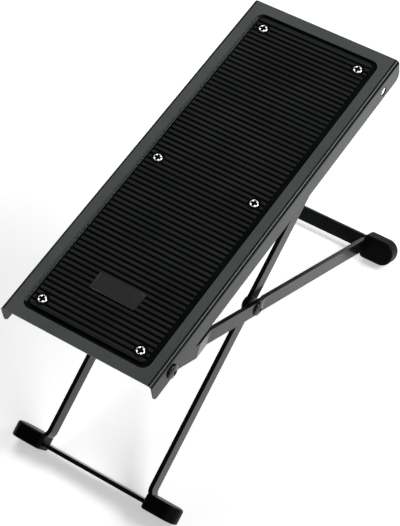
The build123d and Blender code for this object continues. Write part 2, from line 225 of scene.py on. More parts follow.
class FOOTREST_PG_finishes(bpy.types.PropertyGroup):
    """Colours and gloss of the footrest's materials."""

    paint: colour("Black paint", "Satin black paint of all the steel", (0.0040, 0.0047, 0.0045))
    paint_gloss: share("Paint roughness", "Roughness of the satin paint", 0.22)
    mat_rubber: colour("Mat rubber", "Ribbed mat", (0.0050, 0.0059, 0.0057))
    foot_rubber: colour("Foot rubber", "Rubber feet", (0.0016, 0.0016, 0.0016))
    nickel: colour("Nickel", "Bright mat screws", (0.70, 0.69, 0.67))
    zinc: colour("Zinc", "Plated nuts, washers and spacers", (0.46, 0.47, 0.48))
    badge: colour("Badge", "Dark badge plate", (0.0052, 0.0057, 0.0060))
    floor: colour("Floor", "Pale studio floor", (0.95, 0.95, 0.95))
    floor_glow: strength("Floor glow", "Light of the floor itself", 0.5)


class FOOTREST_PG_stage(bpy.types.PropertyGroup):
    """Camera and studio light."""

    camera: FloatVectorProperty(
        name="Camera", description="Where the camera stands", default=(0.4401, -0.64268, 0.99843), size=3,
        precision=4, unit="LENGTH", subtype="XYZ",
    )
    azimuth: angle("Azimuth", "How far round the object the camera stands", 35.78)
    elevation: angle("Elevation", "How steeply the camera looks down", 50.36)
    roll: angle("Roll", "Turn of the picture", -2.06)
    lens: FloatProperty(name="Lens", description="Focal length in millimetres", default=124.0, min=1.0, unit="CAMERA")
    shift_x: FloatProperty(name="Shift across", description="Camera shift across the picture", default=0.0356)
    shift_y: FloatProperty(name="Shift up", description="Camera shift up the picture", default=0.0570)
    sky: strength("Surround", "Brightness of the dim surround", 0.03)
    top: strength("Top light", "Power of the softbox above the rear left", 15.0)
    key: strength("Key light", "Power of the softbox behind the right", 32.0)
    side: strength("Side light", "Power of the softbox at the right", 9.0)


def own_keys(settings):
    """The names of a property group's own settings."""
    return [key for key in settings.bl_rna.properties.keys() if key not in ("rna_type", "name")]


def sizes_of(context, *groups):
    """The settings of property groups as plain numbers, with every length in millimetres."""
    found = []
    for group in groups:
        settings = getattr(context.scene, f"footrest_{group}")
        sizes = SimpleNamespace()
        for key in own_keys(settings):
            value = getattr(settings, key)
            is_length = getattr(settings.bl_rna.properties[key], "unit", "") == "LENGTH"
            setattr(sizes, key, value / MILLIMETRE if is_length else value)
        found.append(sizes)
    return found


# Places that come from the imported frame


def middle_line(node):
    """Where a round part's axis crosses the object's middle plane."""
    low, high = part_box(node)
    point = (low + high) / 2
    return Vector((0.0, point.y, point.z))


def axes(point, turn):
    """A part's own axes in millimetres: X across the object, Y along the part, Z square to it."""
    return Matrix.Translation(point) @ Matrix.Rotation(turn, 4, "X") @ Matrix.Scale(MILLIMETRE, 4)


def direction(start, end):
    """The turn about X that points a part's Y axis from start to end."""
    return atan2(end.z - start.z, end.y - start.y)


tread_pivot = middle_line("tread_washer_right")
cross_pivot = middle_line("cross_spacer_right")
rod_line = middle_line("lock_rod")
rod_distance = (cross_pivot - rod_line).length / MILLIMETRE
rear_axes = axes(tread_pivot, direction(tread_pivot, cross_pivot))
front_axes = axes(cross_pivot, direction(rod_line, cross_pivot))


def tread_axes(tread, along=0.0, up=0.0):
    """The tread's own axes, from a place along and above the middle of its front top edge."""
    start = Matrix.Translation((0.0, along - tread.pivot_inset, up + tread.pivot_drop))
    return axes(tread_pivot, tread.tilt) @ start


def mat_field(tread, mat):
    """The mat's width and length, and how far behind the tread's front edge its middle lies."""
    width = tread.width - 2 * (tread.rim_side + mat.gap_side)
    depth = tread.depth - tread.rim_front - tread.rim_rear - 2 * mat.gap_end
    return width, depth, tread.rim_front + mat.gap_end + depth / 2


def screw_places(mat, width, depth):
    """Where the six mat screws stand, seen from the mat's middle."""
    across = width / 2 - mat.screw_from_side
    along = depth / 2 - mat.screw_from_end
    return [(x, y - mat.screw_shift) for x in (-across, across) for y in (-along, 0.0, along)]


# Shapes


def only(kind, geometry):
    """The vertices, edges or faces among an operator's results."""
    return [item for item in geometry if isinstance(item, kind)]


def edges_at(vertices):
    return list(dict.fromkeys(edge for vert in vertices for edge in vert.link_edges))


def sharp_edges(shape, limit=60.0):
    """The edges that turn by more than limit degrees."""
    return [edge for edge in shape.edges if len(edge.link_faces) == 2 and edge.calc_face_angle(0.0) > radians(limit)]


def level_sharp_edges(shape, limit=60.0):
    return [edge for edge in sharp_edges(shape, limit) if abs(edge.verts[0].co.z - edge.verts[1].co.z) < TOUCH]


def bevel(shape, geometry, radius, segments, affect):
    return bmesh.ops.bevel(
        shape, geom=geometry, offset=radius, offset_type="OFFSET", segments=segments, profile=0.5,
        affect=affect, clamp_overlap=affect == "EDGES", material=-1,
    )


def round_edges(shape, edges, radius, segments=2):
    bevel(shape, edges, radius, segments, "EDGES")


def round_corners(shape, corners, radius, segments):
    """Rounds corners of a flat face and gives the face."""
    return bevel(shape, corners, radius, segments, "VERTICES")["verts"][0].link_faces[0]


def rectangle(shape, width, depth, place_matrix):
    """A flat face. It gives the four corners."""
    size = Matrix.Diagonal((width, depth, 1.0, 1.0))
    return bmesh.ops.create_grid(shape, x_segments=1, y_segments=1, size=0.5, matrix=place_matrix @ size)["verts"]


def rounded_rectangle(shape, width, depth, centre, corner, segments):
    """A flat face with round corners. It gives the face."""
    return round_corners(shape, rectangle(shape, width, depth, Matrix.Translation(centre)), corner, segments)


def outline_of(shape, face):
    """Takes a flat face away and gives the edges that were round it."""
    edges = face.edges[:]
    bmesh.ops.delete(shape, geom=[face], context="FACES_ONLY")
    return edges


def extend(shape, edges, move):
    """Extrudes edges, puts each new vertex where move says, and gives the new edges."""
    made = bmesh.ops.extrude_edge_only(shape, edges=edges)["geom"]
    for vert in only(BMVert, made):
        vert.co = move(vert.co)
    return only(BMEdge, made)


def pull(shape, edges, step):
    """Extrudes edges by a step and gives the new edges."""
    return extend(shape, edges, lambda spot: spot + step)


def thicken(shape, faces, height):
    """Extrudes faces upwards and gives the new faces."""
    made = bmesh.ops.extrude_face_region(shape, geom=faces)["geom"]
    bmesh.ops.translate(shape, vec=(0.0, 0.0, height), verts=only(BMVert, made))
    return only(BMFace, made)


def open_line(shape, places):
    """A line of edges through places. It gives its vertices and edges."""
    points = [shape.verts.new(place) for place in places]
    return points + [shape.edges.new(pair) for pair in zip(points, points[1:])]


def merge(shape, distance=MERGE):
    bmesh.ops.remove_doubles(shape, verts=shape.verts, dist=distance)


def lathe(shape, profile, steps=48):
    """Turns a line of (across the object, radius) points into a closed round shape."""
    line = open_line(shape, [(across, 0.0, radius) for across, radius in profile])
    bmesh.ops.spin(
        shape, geom=line, cent=(0.0, 0.0, 0.0), axis=(1.0, 0.0, 0.0), angle=2 * pi, steps=steps, use_merge=True
    )
    merge(shape)


def join_flat(shape):
    """Joins the flat triangles that a fill leaves."""
    bmesh.ops.dissolve_limit(shape, angle_limit=radians(0.5), verts=shape.verts, edges=shape.edges)


def turn_sheet(shape, spot, outwards):
    """Turns a sheet's faces so that the one nearest to a spot looks outwards."""
    bmesh.ops.recalc_face_normals(shape, faces=shape.faces)
    nearest = min(shape.faces, key=lambda face: (face.calc_center_median() - spot).length)
    if nearest.normal.dot(outwards) < 0.0:
        bmesh.ops.reverse_faces(shape, faces=shape.faces)


def material_named(name):
    found = bpy.data.materials.get(name)
    if found is None:
        raise RuntimeError(f"the material {name} isn't made yet: run the finishes first")
    return found


def add_object(name, data):
    made = bpy.data.objects.new(name, data)
    bpy.context.scene.collection.objects.link(made)
    return made


def finish_piece(shape, name, place_matrix, finish, body, node, on_floor=False, crease=38.0, dull=None):
    """Writes a shape into its place and hands it to the frame. Faces with material index 1 take the dull finish, whose
    darker colour is painted shade.
    """
    merge(shape)
    bmesh.ops.recalc_face_normals(shape, faces=shape.faces)
    bmesh.ops.transform(shape, matrix=place_matrix, verts=shape.verts)
    if on_floor:
        everything = shape.verts[:] + shape.edges[:] + shape.faces[:]
        cut = bmesh.ops.bisect_plane(
            shape, geom=everything, plane_co=(0.0, 0.0, 0.0), plane_no=(0.0, 0.0, -1.0), clear_outer=True
        )
        bmesh.ops.contextual_create(shape, geom=only(BMEdge, cut["geom_cut"]))
        bmesh.ops.recalc_face_normals(shape, faces=shape.faces)
    for face in shape.faces:
        face.smooth = True
    mesh = bpy.data.meshes.new(name)
    shape.to_mesh(mesh)
    shape.free()
    mesh.set_sharp_from_angle(angle=radians(crease))
    material, slot = finish
    mesh.materials.append(material_named(material))
    if dull is not None:
        mesh.materials.append(material_named(dull))
    piece = add_object(name, mesh)
    piece.modifiers.new("Even shading", "WEIGHTED_NORMAL").keep_sharp = True
    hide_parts(node)
    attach(piece, body)


def on_both_sides(name, node, place_matrix, finish, body, build, *sizes, on_floor=False):
    """Builds the right piece and its mirror image on the left."""
    for side, sign in (("right", 1.0), ("left", -1.0)):
        shape = bmesh.new()
        build(shape, *sizes)
        if sign < 0.0:
            bmesh.ops.scale(shape, vec=(sign, 1.0, 1.0), verts=shape.verts)
        finish_piece(shape, f"{name}_{side}", place_matrix, finish, body, f"{node}_{side}", on_floor=on_floor)


# Material effects that several finishes share


def add_node(tree, kind, sockets=None, **settings):
    """A node with its settings, its values and the links into it."""
    made = tree.nodes.new(kind)
    for key, value in settings.items():
        setattr(made, key, value)
    for key, value in (sockets or {}).items():
        if isinstance(value, bpy.types.NodeSocket):
            tree.links.new(value, made.inputs[key])
        else:
            made.inputs[key].default_value = value
    return made


def effect_group(name, inputs, outputs):
    """An empty node group with named number inputs and outputs."""
    tree = bpy.data.node_groups.new(name, "ShaderNodeTree")
    for title, default in inputs.items():
        socket = tree.interface.new_socket(name=title, in_out="INPUT", socket_type="NodeSocketFloat")
        socket.default_value = default
    for title in outputs:
        tree.interface.new_socket(name=title, in_out="OUTPUT", socket_type="NodeSocketFloat")
    return tree, tree.nodes.new("NodeGroupInput").outputs, tree.nodes.new("NodeGroupOutput").inputs


def place_group(tree, group, *values):
    """Places an effect in a material with its own values, in the order of its inputs."""
    return add_node(tree, "ShaderNodeGroup", dict(enumerate(values)), node_tree=group).outputs


def own_place(tree):
    return add_node(tree, "ShaderNodeTexCoord").outputs["Object"]


def noise(tree, spot, scale, detail, roughness=0.5):
    values = {"Vector": spot, "Scale": scale, "Detail": detail, "Roughness": roughness}
    return add_node(tree, "ShaderNodeTexNoise", values).outputs["Fac"]


def ramp(tree, source, low, high):
    """Fades a value from 0 at low to 1 at high."""
    values = {"Value": source, "From Min": low, "From Max": high}
    return add_node(tree, "ShaderNodeMapRange", values, interpolation_type="SMOOTHSTEP").outputs["Result"]


def spread(tree, source, low, high):
    """Maps a mask onto a range of values."""
    return add_node(tree, "ShaderNodeMapRange", {"Value": source, "To Min": low, "To Max": high}).outputs["Result"]


def maths(tree, operation, first, second):
    return add_node(tree, "ShaderNodeMath", {0: first, 1: second}, operation=operation).outputs[0]


def blend(tree, factor, first, second):
    """Mixes two colours, given as sockets or values."""
    return add_node(tree, "ShaderNodeMix", {"Factor": factor, 6: first, 7: second}, data_type="RGBA").outputs[2]


def build_grain_group():
    """Fine surface texture: orange peel in paint, moulded grain in rubber."""
    tree, given, result = effect_group(
        "Surface grain", {"Grains per metre": 900.0, "Sharpness": 0.5}, ["Height", "Tone"]
    )
    spot = own_place(tree)
    tree.links.new(noise(tree, spot, given["Grains per metre"], 3.0, given["Sharpness"]), result["Height"])
    tree.links.new(ramp(tree, noise(tree, spot, 22.0, 4.0, 0.6), 0.3, 0.7), result["Tone"])
    return tree


def build_wear_group():
    """Where paint and plating rub thin: along edges, broken up by scuffs."""
    tree, given, result = effect_group("Edge wear", {"Reach": 0.0006, "Amount": 0.5}, ["Wear"])
    soft = add_node(tree, "ShaderNodeBevel", {"Radius": given["Reach"]}, samples=4).outputs["Normal"]
    plain = add_node(tree, "ShaderNodeNewGeometry").outputs["Normal"]
    turn = add_node(tree, "ShaderNodeVectorMath", {0: soft, 1: plain}, operation="DOT_PRODUCT").outputs["Value"]
    edge = ramp(tree, maths(tree, "SUBTRACT", 1.0, turn), 0.01, 0.12)
    broken = ramp(tree, noise(tree, own_place(tree), 140.0, 5.0, 0.65), 0.42, 0.66)
    tree.links.new(maths(tree, "MULTIPLY", maths(tree, "MULTIPLY", edge, broken), given["Amount"]), result["Wear"])
    return tree


def build_dust_group():
    """Thin dust that settles on faces that look up, and faint smudges."""
    tree, given, result = effect_group("Dust and smudges", {"Dust": 0.1}, ["Dust", "Smudge"])
    spot = own_place(tree)
    facing = add_node(tree, "ShaderNodeNewGeometry").outputs["Normal"]
    upward = add_node(tree, "ShaderNodeSeparateXYZ", {"Vector": facing}).outputs["Z"]
    specks, clouds = noise(tree, spot, 700.0, 2.0), noise(tree, spot, 35.0, 4.0)
    fall = maths(tree, "MULTIPLY", ramp(tree, upward, 0.2, 0.95), ramp(tree, specks, 0.5, 0.78))
    thin = maths(tree, "MULTIPLY", fall, ramp(tree, clouds, 0.35, 0.75))
    tree.links.new(maths(tree, "MULTIPLY", thin, given["Dust"]), result["Dust"])
    tree.links.new(ramp(tree, clouds, 0.3, 0.7), result["Smudge"])
    return tree


def tone(base, times):
    return (*(min(1.0, part * times) for part in base[:3]), 1.0)


def tones(base, dark, light):
    return tone(base, dark), tone(base, light)


def make_finish(
    effects, name, mottle, grain, rough, bump,
    wear=None, dust=0.0, dust_colour=None, bare_metal=False, brushing=None, constants=None,
):
    """A finish whose colours, gloss and bump vary over the surface, with its constants on the shader's own sockets.

    mottle holds two colours, grain the grains per metre and their sharpness, rough the least and greatest roughness,
    bump the grain's height in metres, wear its reach in metres, its amount and the rubbed colour.
    """
    material = bpy.data.materials.new(name)
    material.use_nodes = True
    tree = material.node_tree
    shader = tree.nodes["Principled BSDF"].inputs
    grains = place_group(tree, effects.grain, *grain)
    film = place_group(tree, effects.dust, dust)
    base = blend(tree, grains["Tone"], *mottle)
    if wear is not None:
        reach, amount, rubbed = wear
        worn = place_group(tree, effects.wear, reach, amount)["Wear"]
        base = blend(tree, worn, base, rubbed)
        if bare_metal:
            tree.links.new(worn, shader["Metallic"])
    if dust_colour is not None:
        base = blend(tree, film["Dust"], base, dust_colour)
    height = grains["Height"]
    if brushing is not None:
        stretched = add_node(tree, "ShaderNodeMapping", {"Vector": own_place(tree), "Scale": brushing})
        height = noise(tree, stretched.outputs[0], 1.0, 2.0)
    raised = add_node(tree, "ShaderNodeBump", {"Height": height, "Distance": bump, "Strength": 1.0})
    tree.links.new(base, shader["Base Color"])
    tree.links.new(spread(tree, film["Smudge"], *rough), shader["Roughness"])
    tree.links.new(raised.outputs["Normal"], shader["Normal"])
    for title, value in (constants or {}).items():
        shader[title].default_value = value
    return material


def moulded_rubber(effects, name, base, roughness, grains, specular):
    """Matt black rubber with a moulded grain, dust in its pores and rubbed edges."""
    return make_finish(
        effects, name, tones(base, 0.8, 1.25), grain=(grains, 0.6), rough=(roughness - 0.06, roughness + 0.06),
        bump=0.00006, wear=(0.0007, 0.7, tone(base, 3.0)), dust=0.02, dust_colour=(0.15, 0.15, 0.145, 1.0),
        constants={SPECULAR: specular},
    )


def plated_metal(effects, name, base, roughness, dark):
    """Plated steel with fine tool marks and a dull film in patches."""
    return make_finish(
        effects, name, tones(base, dark, 1.0), grain=(2600.0, 0.7), rough=(roughness - 0.05, roughness + 0.08),
        bump=0.00002, constants={"Metallic": 1.0},
    )


def pale_floor(finishes):
    """Plain pale studio floor with the faintest mottling that glows with its own light, greyer far from the object as
    painted shade.
    """
    material = bpy.data.materials.new(FLOOR)
    material.use_nodes = True
    tree = material.node_tree
    shader = tree.nodes["Principled BSDF"].inputs
    spot = own_place(tree)
    mottled = blend(tree, noise(tree, spot, 3.0, 3.0), *tones(finishes.floor, 0.99, 1.01))
    away = add_node(tree, "ShaderNodeVectorMath", {0: spot}, operation="LENGTH").outputs["Value"]
    # Far from the object the floor greys: painted shade
    faded = blend(tree, ramp(tree, away, 0.42, 0.85), mottled, tone(finishes.floor, 0.05))
    tree.links.new(faded, shader["Base Color"])
    tree.links.new(faded, shader["Emission Color"])
    shader["Emission Strength"].default_value = finishes.floor_glow
    shader["Roughness"].default_value = 0.9
    shader[SPECULAR].default_value = 0.1


class FOOTREST_OT_finishes(bpy.types.Operator):
    """Make the shared material effects and every finish of the footrest"""

    bl_idname = "footrest.finishes"
    bl_label = "Make finishes"

    def execute(self, context):
        finishes = context.scene.footrest_finishes
        effects = SimpleNamespace(grain=build_grain_group(), wear=build_wear_group(), dust=build_dust_group())
        paint, mat_rubber, gloss = finishes.paint, finishes.mat_rubber, finishes.paint_gloss

        # Orange peel, thin dust and edges rubbed a little lighter
        satin = make_finish(
            effects, PAINT[0], tones(paint, 0.8, 1.2), grain=(1100.0, 0.45), rough=(gloss - 0.05, gloss + 0.05),
            bump=0.00003, wear=(0.0008, 0.5, tone(paint, 4.0)), dust=0.03, dust_colour=(0.16, 0.16, 0.155, 1.0),
            constants={SPECULAR: 0.25, "Specular Tint": (0.88, 1.0, 0.96, 1.0)},
        )
        # The same paint where the mat masks the tray: dull and rough, its colour darkened as painted shade in the
        # recess
        make_finish(
            effects, SHADED_TRAY_PAINT, tones(paint, 0.4, 0.9), grain=(700.0, 0.6), rough=(0.75, 0.95), bump=0.00005,
            constants={SPECULAR: 0.08},
        )
        # Worn to bright metal on the crown of the head
        make_finish(
            effects, RIVET_PAINT[0], tones(paint, 0.9, 1.3), grain=(1800.0, 0.6), rough=(0.16, 0.26),
            bump=0.00003, wear=(0.0009, 0.5, finishes.zinc), bare_metal=True,
        )
        # Dark lacquer over fine brushing along the plate
        make_finish(
            effects, BADGE[0], tones(finishes.badge, 0.85, 1.2), grain=(600.0, 0.5), rough=(0.25, 0.35),
            bump=0.00001, wear=(0.0005, 0.35, (0.30, 0.30, 0.30, 1.0)), bare_metal=True,
            brushing=(120.0, 6000.0, 6000.0), constants={SPECULAR: 0.09},
        )
        moulded_rubber(effects, MAT_RUBBER[0], mat_rubber, 0.5, 1500.0, 0.12)
        # Groove floors and screw discs take a darker rubber: painted shade
        moulded_rubber(effects, SHADED_LAND_RUBBER, tone(mat_rubber, 0.5), 0.7, 1500.0, 0.02)
        foot = moulded_rubber(effects, FOOT_RUBBER[0], finishes.foot_rubber, 0.42, 1900.0, 0.07)
        nickel = plated_metal(effects, NICKEL[0], finishes.nickel, 0.16, 0.75)
        zinc = plated_metal(effects, ZINC[0], finishes.zinc, 0.36, 0.7)
        pale_floor(finishes)

        on_nodes = {PAINT[1]: satin, ZINC[1]: zinc, NICKEL[1]: nickel, FOOT_RUBBER[1]: foot}
        for part in frame["record"]["materials"]:
            for node in part.get("nodes", []):
                solid = frame["nodes"].get(node)
                if solid is not None and part["slot"] in on_nodes:
                    solid.data.materials.clear()
                    solid.data.materials.append(on_nodes[part["slot"]])
        return {"FINISHED"}


class FOOTREST_OT_tread(bpy.types.Operator):
    """Press the sheet tread: folded sides, sunk floor for the mat, spare holes"""

    bl_idname = "footrest.tread"
    bl_label = "Tread"

    def execute(self, context):
        (tread,) = sizes_of(context, "tread")
        shape = bmesh.new()
        half_flat = tread.width / 2 - tread.bend_radius
        from_edge, lip = 1.0, 0.2
        recess_width = tread.width - 2 * tread.rim_side
        recess_depth = tread.depth - tread.rim_front - tread.rim_rear
        middle = Vector((0.0, tread.rim_front + recess_depth / 2, 0.0))
        rings = []
        for inset, drop in ((0.0, 0.0), (tread.recess_slope, tread.recess)):
            face = rounded_rectangle(
                shape, recess_width - 2 * inset, recess_depth - 2 * inset, middle - Vector((0.0, 0.0, drop)),
                tread.recess_corner - inset, 10,
            )
            rings.append(face.edges[:] if drop else outline_of(shape, face))
        bmesh.ops.bridge_loops(shape, edges=rings[0] + rings[1])
        border = rectangle(shape, 2 * half_flat, tread.depth, Matrix.Translation((0.0, tread.depth / 2, 0.0)))
        edges = outline_of(shape, border[0].link_faces[0]) + rings[0]
        bmesh.ops.triangle_fill(shape, edges=edges, use_beauty=True)

        wall_height = tread.flange - tread.bend_radius
        for sign in (1.0, -1.0):
            fold = [
                edge for edge in shape.edges if all(abs(vert.co.x - sign * half_flat) < TOUCH for vert in edge.verts)
            ]
            bmesh.ops.spin(
                shape, geom=fold, cent=(sign * half_flat, 0.0, -tread.bend_radius), axis=(0.0, 1.0, 0.0),
                angle=sign * pi / 2, steps=8,
            )

            def on_wall(along, down):
                return Matrix.Translation((sign * tread.width / 2, along, -down)) @ Matrix.Rotation(pi / 2, 4, "Y")

            at_wall = on_wall(tread.depth / 2, tread.bend_radius + wall_height / 2)
            wall = rectangle(shape, wall_height, tread.depth, at_wall)
            lower = sorted(sorted(wall, key=lambda vert: vert.co.z)[:2], key=lambda vert: vert.co.y)
            for corner, radius in zip(lower, (tread.corner_front, tread.corner_rear)):
                wall_face = round_corners(shape, [corner], radius, 8)
            edges = outline_of(shape, wall_face)
            at_hole = on_wall(tread.depth - tread.pivot_inset, tread.pivot_drop)
            hole = bmesh.ops.create_circle(shape, segments=24, radius=tread.spare_hole, matrix=at_hole)["verts"]
            bmesh.ops.triangle_fill(shape, edges=edges + edges_at(hole), use_beauty=True)

        merge(shape)
        join_flat(shape)
        turn_sheet(shape, middle, Vector((0.0, 0.0, 1.0)))
        bmesh.ops.solidify(shape, geom=shape.faces[:], thickness=tread.sheet)
        pressed = [
            edge
            for edge in sharp_edges(shape, 40.0)
            if all(abs(vert.co.x) < half_flat for vert in edge.verts)
            and all(from_edge < vert.co.y < tread.depth - from_edge for vert in edge.verts)
        ]
        round_edges(shape, pressed, tread.recess_edge, 3)
        round_edges(shape, sharp_edges(shape), tread.cut_edge)
        # The recess floor and walls, all but the left wall, take the darker tray paint: painted shade in the recess
        for face in shape.faces:
            spot = face.calc_center_median()
            in_recess = abs(spot.x) < recess_width / 2 and abs(spot.y - middle.y) < recess_depth / 2
            left_wall = spot.x < 0.0 and face.normal.x > 0.3
            if in_recess and -tread.recess - lip / 2 < spot.z < -lip and not left_wall:
                face.material_index = 1
        finish_piece(
            shape, "tread_shell", tread_axes(tread), PAINT, "tread", "tread_plate", crease=45.0, dull=SHADED_TRAY_PAINT
        )
        return {"FINISHED"}


class FOOTREST_OT_mat(bpy.types.Operator):
    """Mould the ribbed mat with a smooth disc round each screw"""

    bl_idname = "footrest.mat"
    bl_label = "Ribbed mat"

    def execute(self, context):
        tread, mat = sizes_of(context, "tread", "mat")
        width, depth, middle = mat_field(tread, mat)
        pitch, half_groove, shoulder = depth / mat.ribs, mat.groove_width / 2, mat.rib_shoulder
        low, crown = -mat.groove_depth, -0.05
        draft, floor_rise, side_edge, land_edge, sunk = 0.02, 0.15, 0.22, 0.3, 0.2
        shape = bmesh.new()
        profile = (
            (0.0, low),
            (half_groove * 0.8, low),
            (half_groove - draft, low + floor_rise),
            (half_groove, crown - shoulder),
            (half_groove + shoulder * 0.3, crown - shoulder * 0.3),
            (half_groove + shoulder, crown - draft),
            (pitch / 2, crown),
        )
        half_rib = open_line(shape, [(-width / 2, along - pitch / 2, up) for along, up in profile])
        bmesh.ops.mirror(shape, geom=half_rib, merge_dist=MERGE, axis="Y")
        bmesh.ops.translate(shape, vec=(0.0, pitch / 2, 0.0), verts=shape.verts)
        first = shape.verts[:] + shape.edges[:]
        for rib in range(1, mat.ribs):
            copied = bmesh.ops.duplicate(shape, geom=first)["geom"]
            bmesh.ops.translate(shape, vec=(0.0, rib * pitch, 0.0), verts=only(BMVert, copied))
        merge(shape)
        for vert in shape.verts:
            if min(vert.co.y, depth - vert.co.y) < half_groove + TOUCH:
                vert.co.z = crown - shoulder * 0.3
        pull(shape, shape.edges[:], Vector((width, 0.0, 0.0)))
        for vert in shape.verts:
            from_end = max(0.0, min(vert.co.y, depth - vert.co.y))
            if from_end < mat.corner:
                drawn_in = mat.corner - (mat.corner**2 - (mat.corner - from_end) ** 2) ** 0.5
                vert.co.x -= copysign(drawn_in, vert.co.x)
        border = [edge for edge in shape.edges if len(edge.link_faces) == 1]
        underside = -(tread.recess + mat.rise)
        below = extend(shape, border, lambda spot: Vector((spot.x, spot.y, underside)))
        bmesh.ops.contextual_create(shape, geom=below)
        bmesh.ops.recalc_face_normals(shape, faces=shape.faces)
        # Groove floors take the darker land rubber: painted shade in the grooves
        for face in shape.faces:
            if face.normal.z > 0.3 and face.calc_center_median().z < low + floor_rise:
                face.material_index = 1
        beside = width / 2 - mat.corner - 0.1
        rim = [
            edge
            for edge in sharp_edges(shape, 50.0)
            if all(vert.co.z > low + 2 * floor_rise and abs(vert.co.x) > beside for vert in edge.verts)
        ]
        round_edges(shape, rim, side_edge)
        bmesh.ops.translate(shape, vec=(0.0, -depth / 2, 0.0), verts=shape.verts)
        for x, y in screw_places(mat, width, depth):
            disc = bmesh.ops.create_circle(
                shape, cap_ends=True, segments=40, radius=mat.land, matrix=Matrix.Translation((x, y, 0.0))
            )["verts"]
            face = disc[0].link_faces[0]
            edges = face.edges[:]
            # The screw disc takes the darker land rubber: painted shade
            face.material_index = 1
            thicken(shape, [face], low - sunk)
            round_edges(shape, edges, land_edge, 3)
        place_matrix = tread_axes(tread, middle, mat.rise)
        finish_piece(shape, "ribbed_mat", place_matrix, MAT_RUBBER, "tread", "tread_mat", dull=SHADED_LAND_RUBBER)
        return {"FINISHED"}


class FOOTREST_OT_badge(bpy.types.Operator):
    """Stamp the blank badge plate with its raised border"""

    bl_idname = "footrest.badge"
    bl_label = "Badge plate"

    def execute(self, context):
        tread, mat = sizes_of(context, "tread", "mat")
        shape = bmesh.new()
        sunk, corner, step, edge = 0.5, 1.0, 0.12, 0.1
        face = rounded_rectangle(shape, mat.badge_width, mat.badge_length, (0.0, 0.0, -sunk), corner, 6)
        upper = thicken(shape, [face], sunk + mat.badge_rise)
        rim = upper[0].edges[:]
        bmesh.ops.inset_region(shape, faces=upper, thickness=mat.badge_border, depth=0.0)
        bmesh.ops.inset_region(shape, faces=upper, thickness=step, depth=-step)
        round_edges(shape, rim, edge)
        place_matrix = tread_axes(tread, mat.badge_start + tread.rim_front + mat.gap_end, mat.rise)
        finish_piece(shape, "badge_blank", place_matrix, BADGE, "tread", "badge_plate")
        return {"FINISHED"}


def onto_ring(radius, height):
    """The move that puts a vertex on a level ring about the Z axis."""
    return lambda spot: Vector((spot.x, spot.y, 0.0)).normalized() * radius + Vector((0.0, 0.0, height))


def cross_head_screw(shape, mat, reach):
    """A countersunk screw with a domed head and a cross recess. Its head's edge is at zero height."""
    arm, half = mat.cross_length / 2, mat.cross_width / 2
    outline = (
        (half, half), (half, arm), (-half, arm), (-half, half), (-arm, half), (-arm, -half),
        (-half, -half), (-half, -arm), (half, -arm), (half, -half), (arm, -half), (arm, half),
    )
    points, fall, taper = [], 0.16, 0.8
    for x, y in outline:
        from_crown = fall * (x * x + y * y) / mat.screw_head**2
        points.append(shape.verts.new((x, y, mat.screw_dome * (1.0 - from_crown))))
    cross = [shape.edges.new((points[i], points[i - 1])) for i in range(len(points))]
    head_edge = edges_at(bmesh.ops.create_circle(shape, segments=32, radius=mat.screw_head)["verts"])
    edges = head_edge
    for radius, up in ((0.985, 0.4), (0.86, 0.88)):
        edges = extend(shape, edges, onto_ring(mat.screw_head * radius, mat.screw_dome * up))
    bmesh.ops.triangle_fill(shape, edges=edges + cross, use_beauty=True)
    floor = extend(shape, cross, lambda spot: Vector((spot.x * taper, spot.y * taper, spot.z - mat.cross_depth)))
    bmesh.ops.contextual_create(shape, geom=floor)
    edges, shank, point = head_edge, mat.screw_shank, 0.3
    for radius, drop in ((shank, mat.screw_head - shank), (shank, reach - point), (shank - point, reach)):
        edges = extend(shape, edges, onto_ring(radius, -drop))
    bmesh.ops.contextual_create(shape, geom=edges)


def hexagon_nut(shape, mat):
    """A nut that hangs from zero height."""
    corners = bmesh.ops.create_circle(shape, segments=6, radius=mat.nut_radius)["verts"]
    hole = bmesh.ops.create_circle(shape, segments=24, radius=mat.screw_shank)["verts"]
    filled = bmesh.ops.triangle_fill(shape, edges=edges_at(corners + hole), use_beauty=True)["geom"]
    thicken(shape, only(BMFace, filled), -mat.nut_height)


class FOOTREST_OT_screws(bpy.types.Operator):
    """Turn the six cross-head mat screws and the nuts below the tray"""

    bl_idname = "footrest.screws"
    bl_label = "Mat screws and nuts"

    def execute(self, context):
        tread, mat = sizes_of(context, "tread", "mat")
        width, depth, middle = mat_field(tread, mat)
        under_tray = tread.recess + tread.sheet
        reach = mat.rise + under_tray + mat.nut_height + mat.screw_tail
        screws, nuts, turn, chamfer = bmesh.new(), bmesh.new(), 0.4, 0.25
        for number, (x, y) in enumerate(screw_places(mat, width, depth)):
            old = set(screws.verts)
            cross_head_screw(screws, mat, reach)
            new = [vert for vert in screws.verts if vert not in old]
            bmesh.ops.translate(screws, vec=(x, y, mat.rise), verts=new)
            old = set(nuts.verts)
            hexagon_nut(nuts, mat)
            new = [vert for vert in nuts.verts if vert not in old]
            bmesh.ops.rotate(nuts, matrix=Matrix.Rotation(turn * number, 3, "Z"), verts=new)
            bmesh.ops.translate(nuts, vec=(x, y, -under_tray), verts=new)
        join_flat(nuts)
        bmesh.ops.recalc_face_normals(nuts, faces=nuts.faces)
        round_edges(nuts, level_sharp_edges(nuts, 50.0), chamfer, 1)
        place_matrix = tread_axes(tread, middle)
        finish_piece(screws, "cross_head_screws", place_matrix, NICKEL, "tread", "mat_screws")
        finish_piece(nuts, "screw_nuts", place_matrix, ZINC, "tread", "mat_nuts")
        return {"FINISHED"}


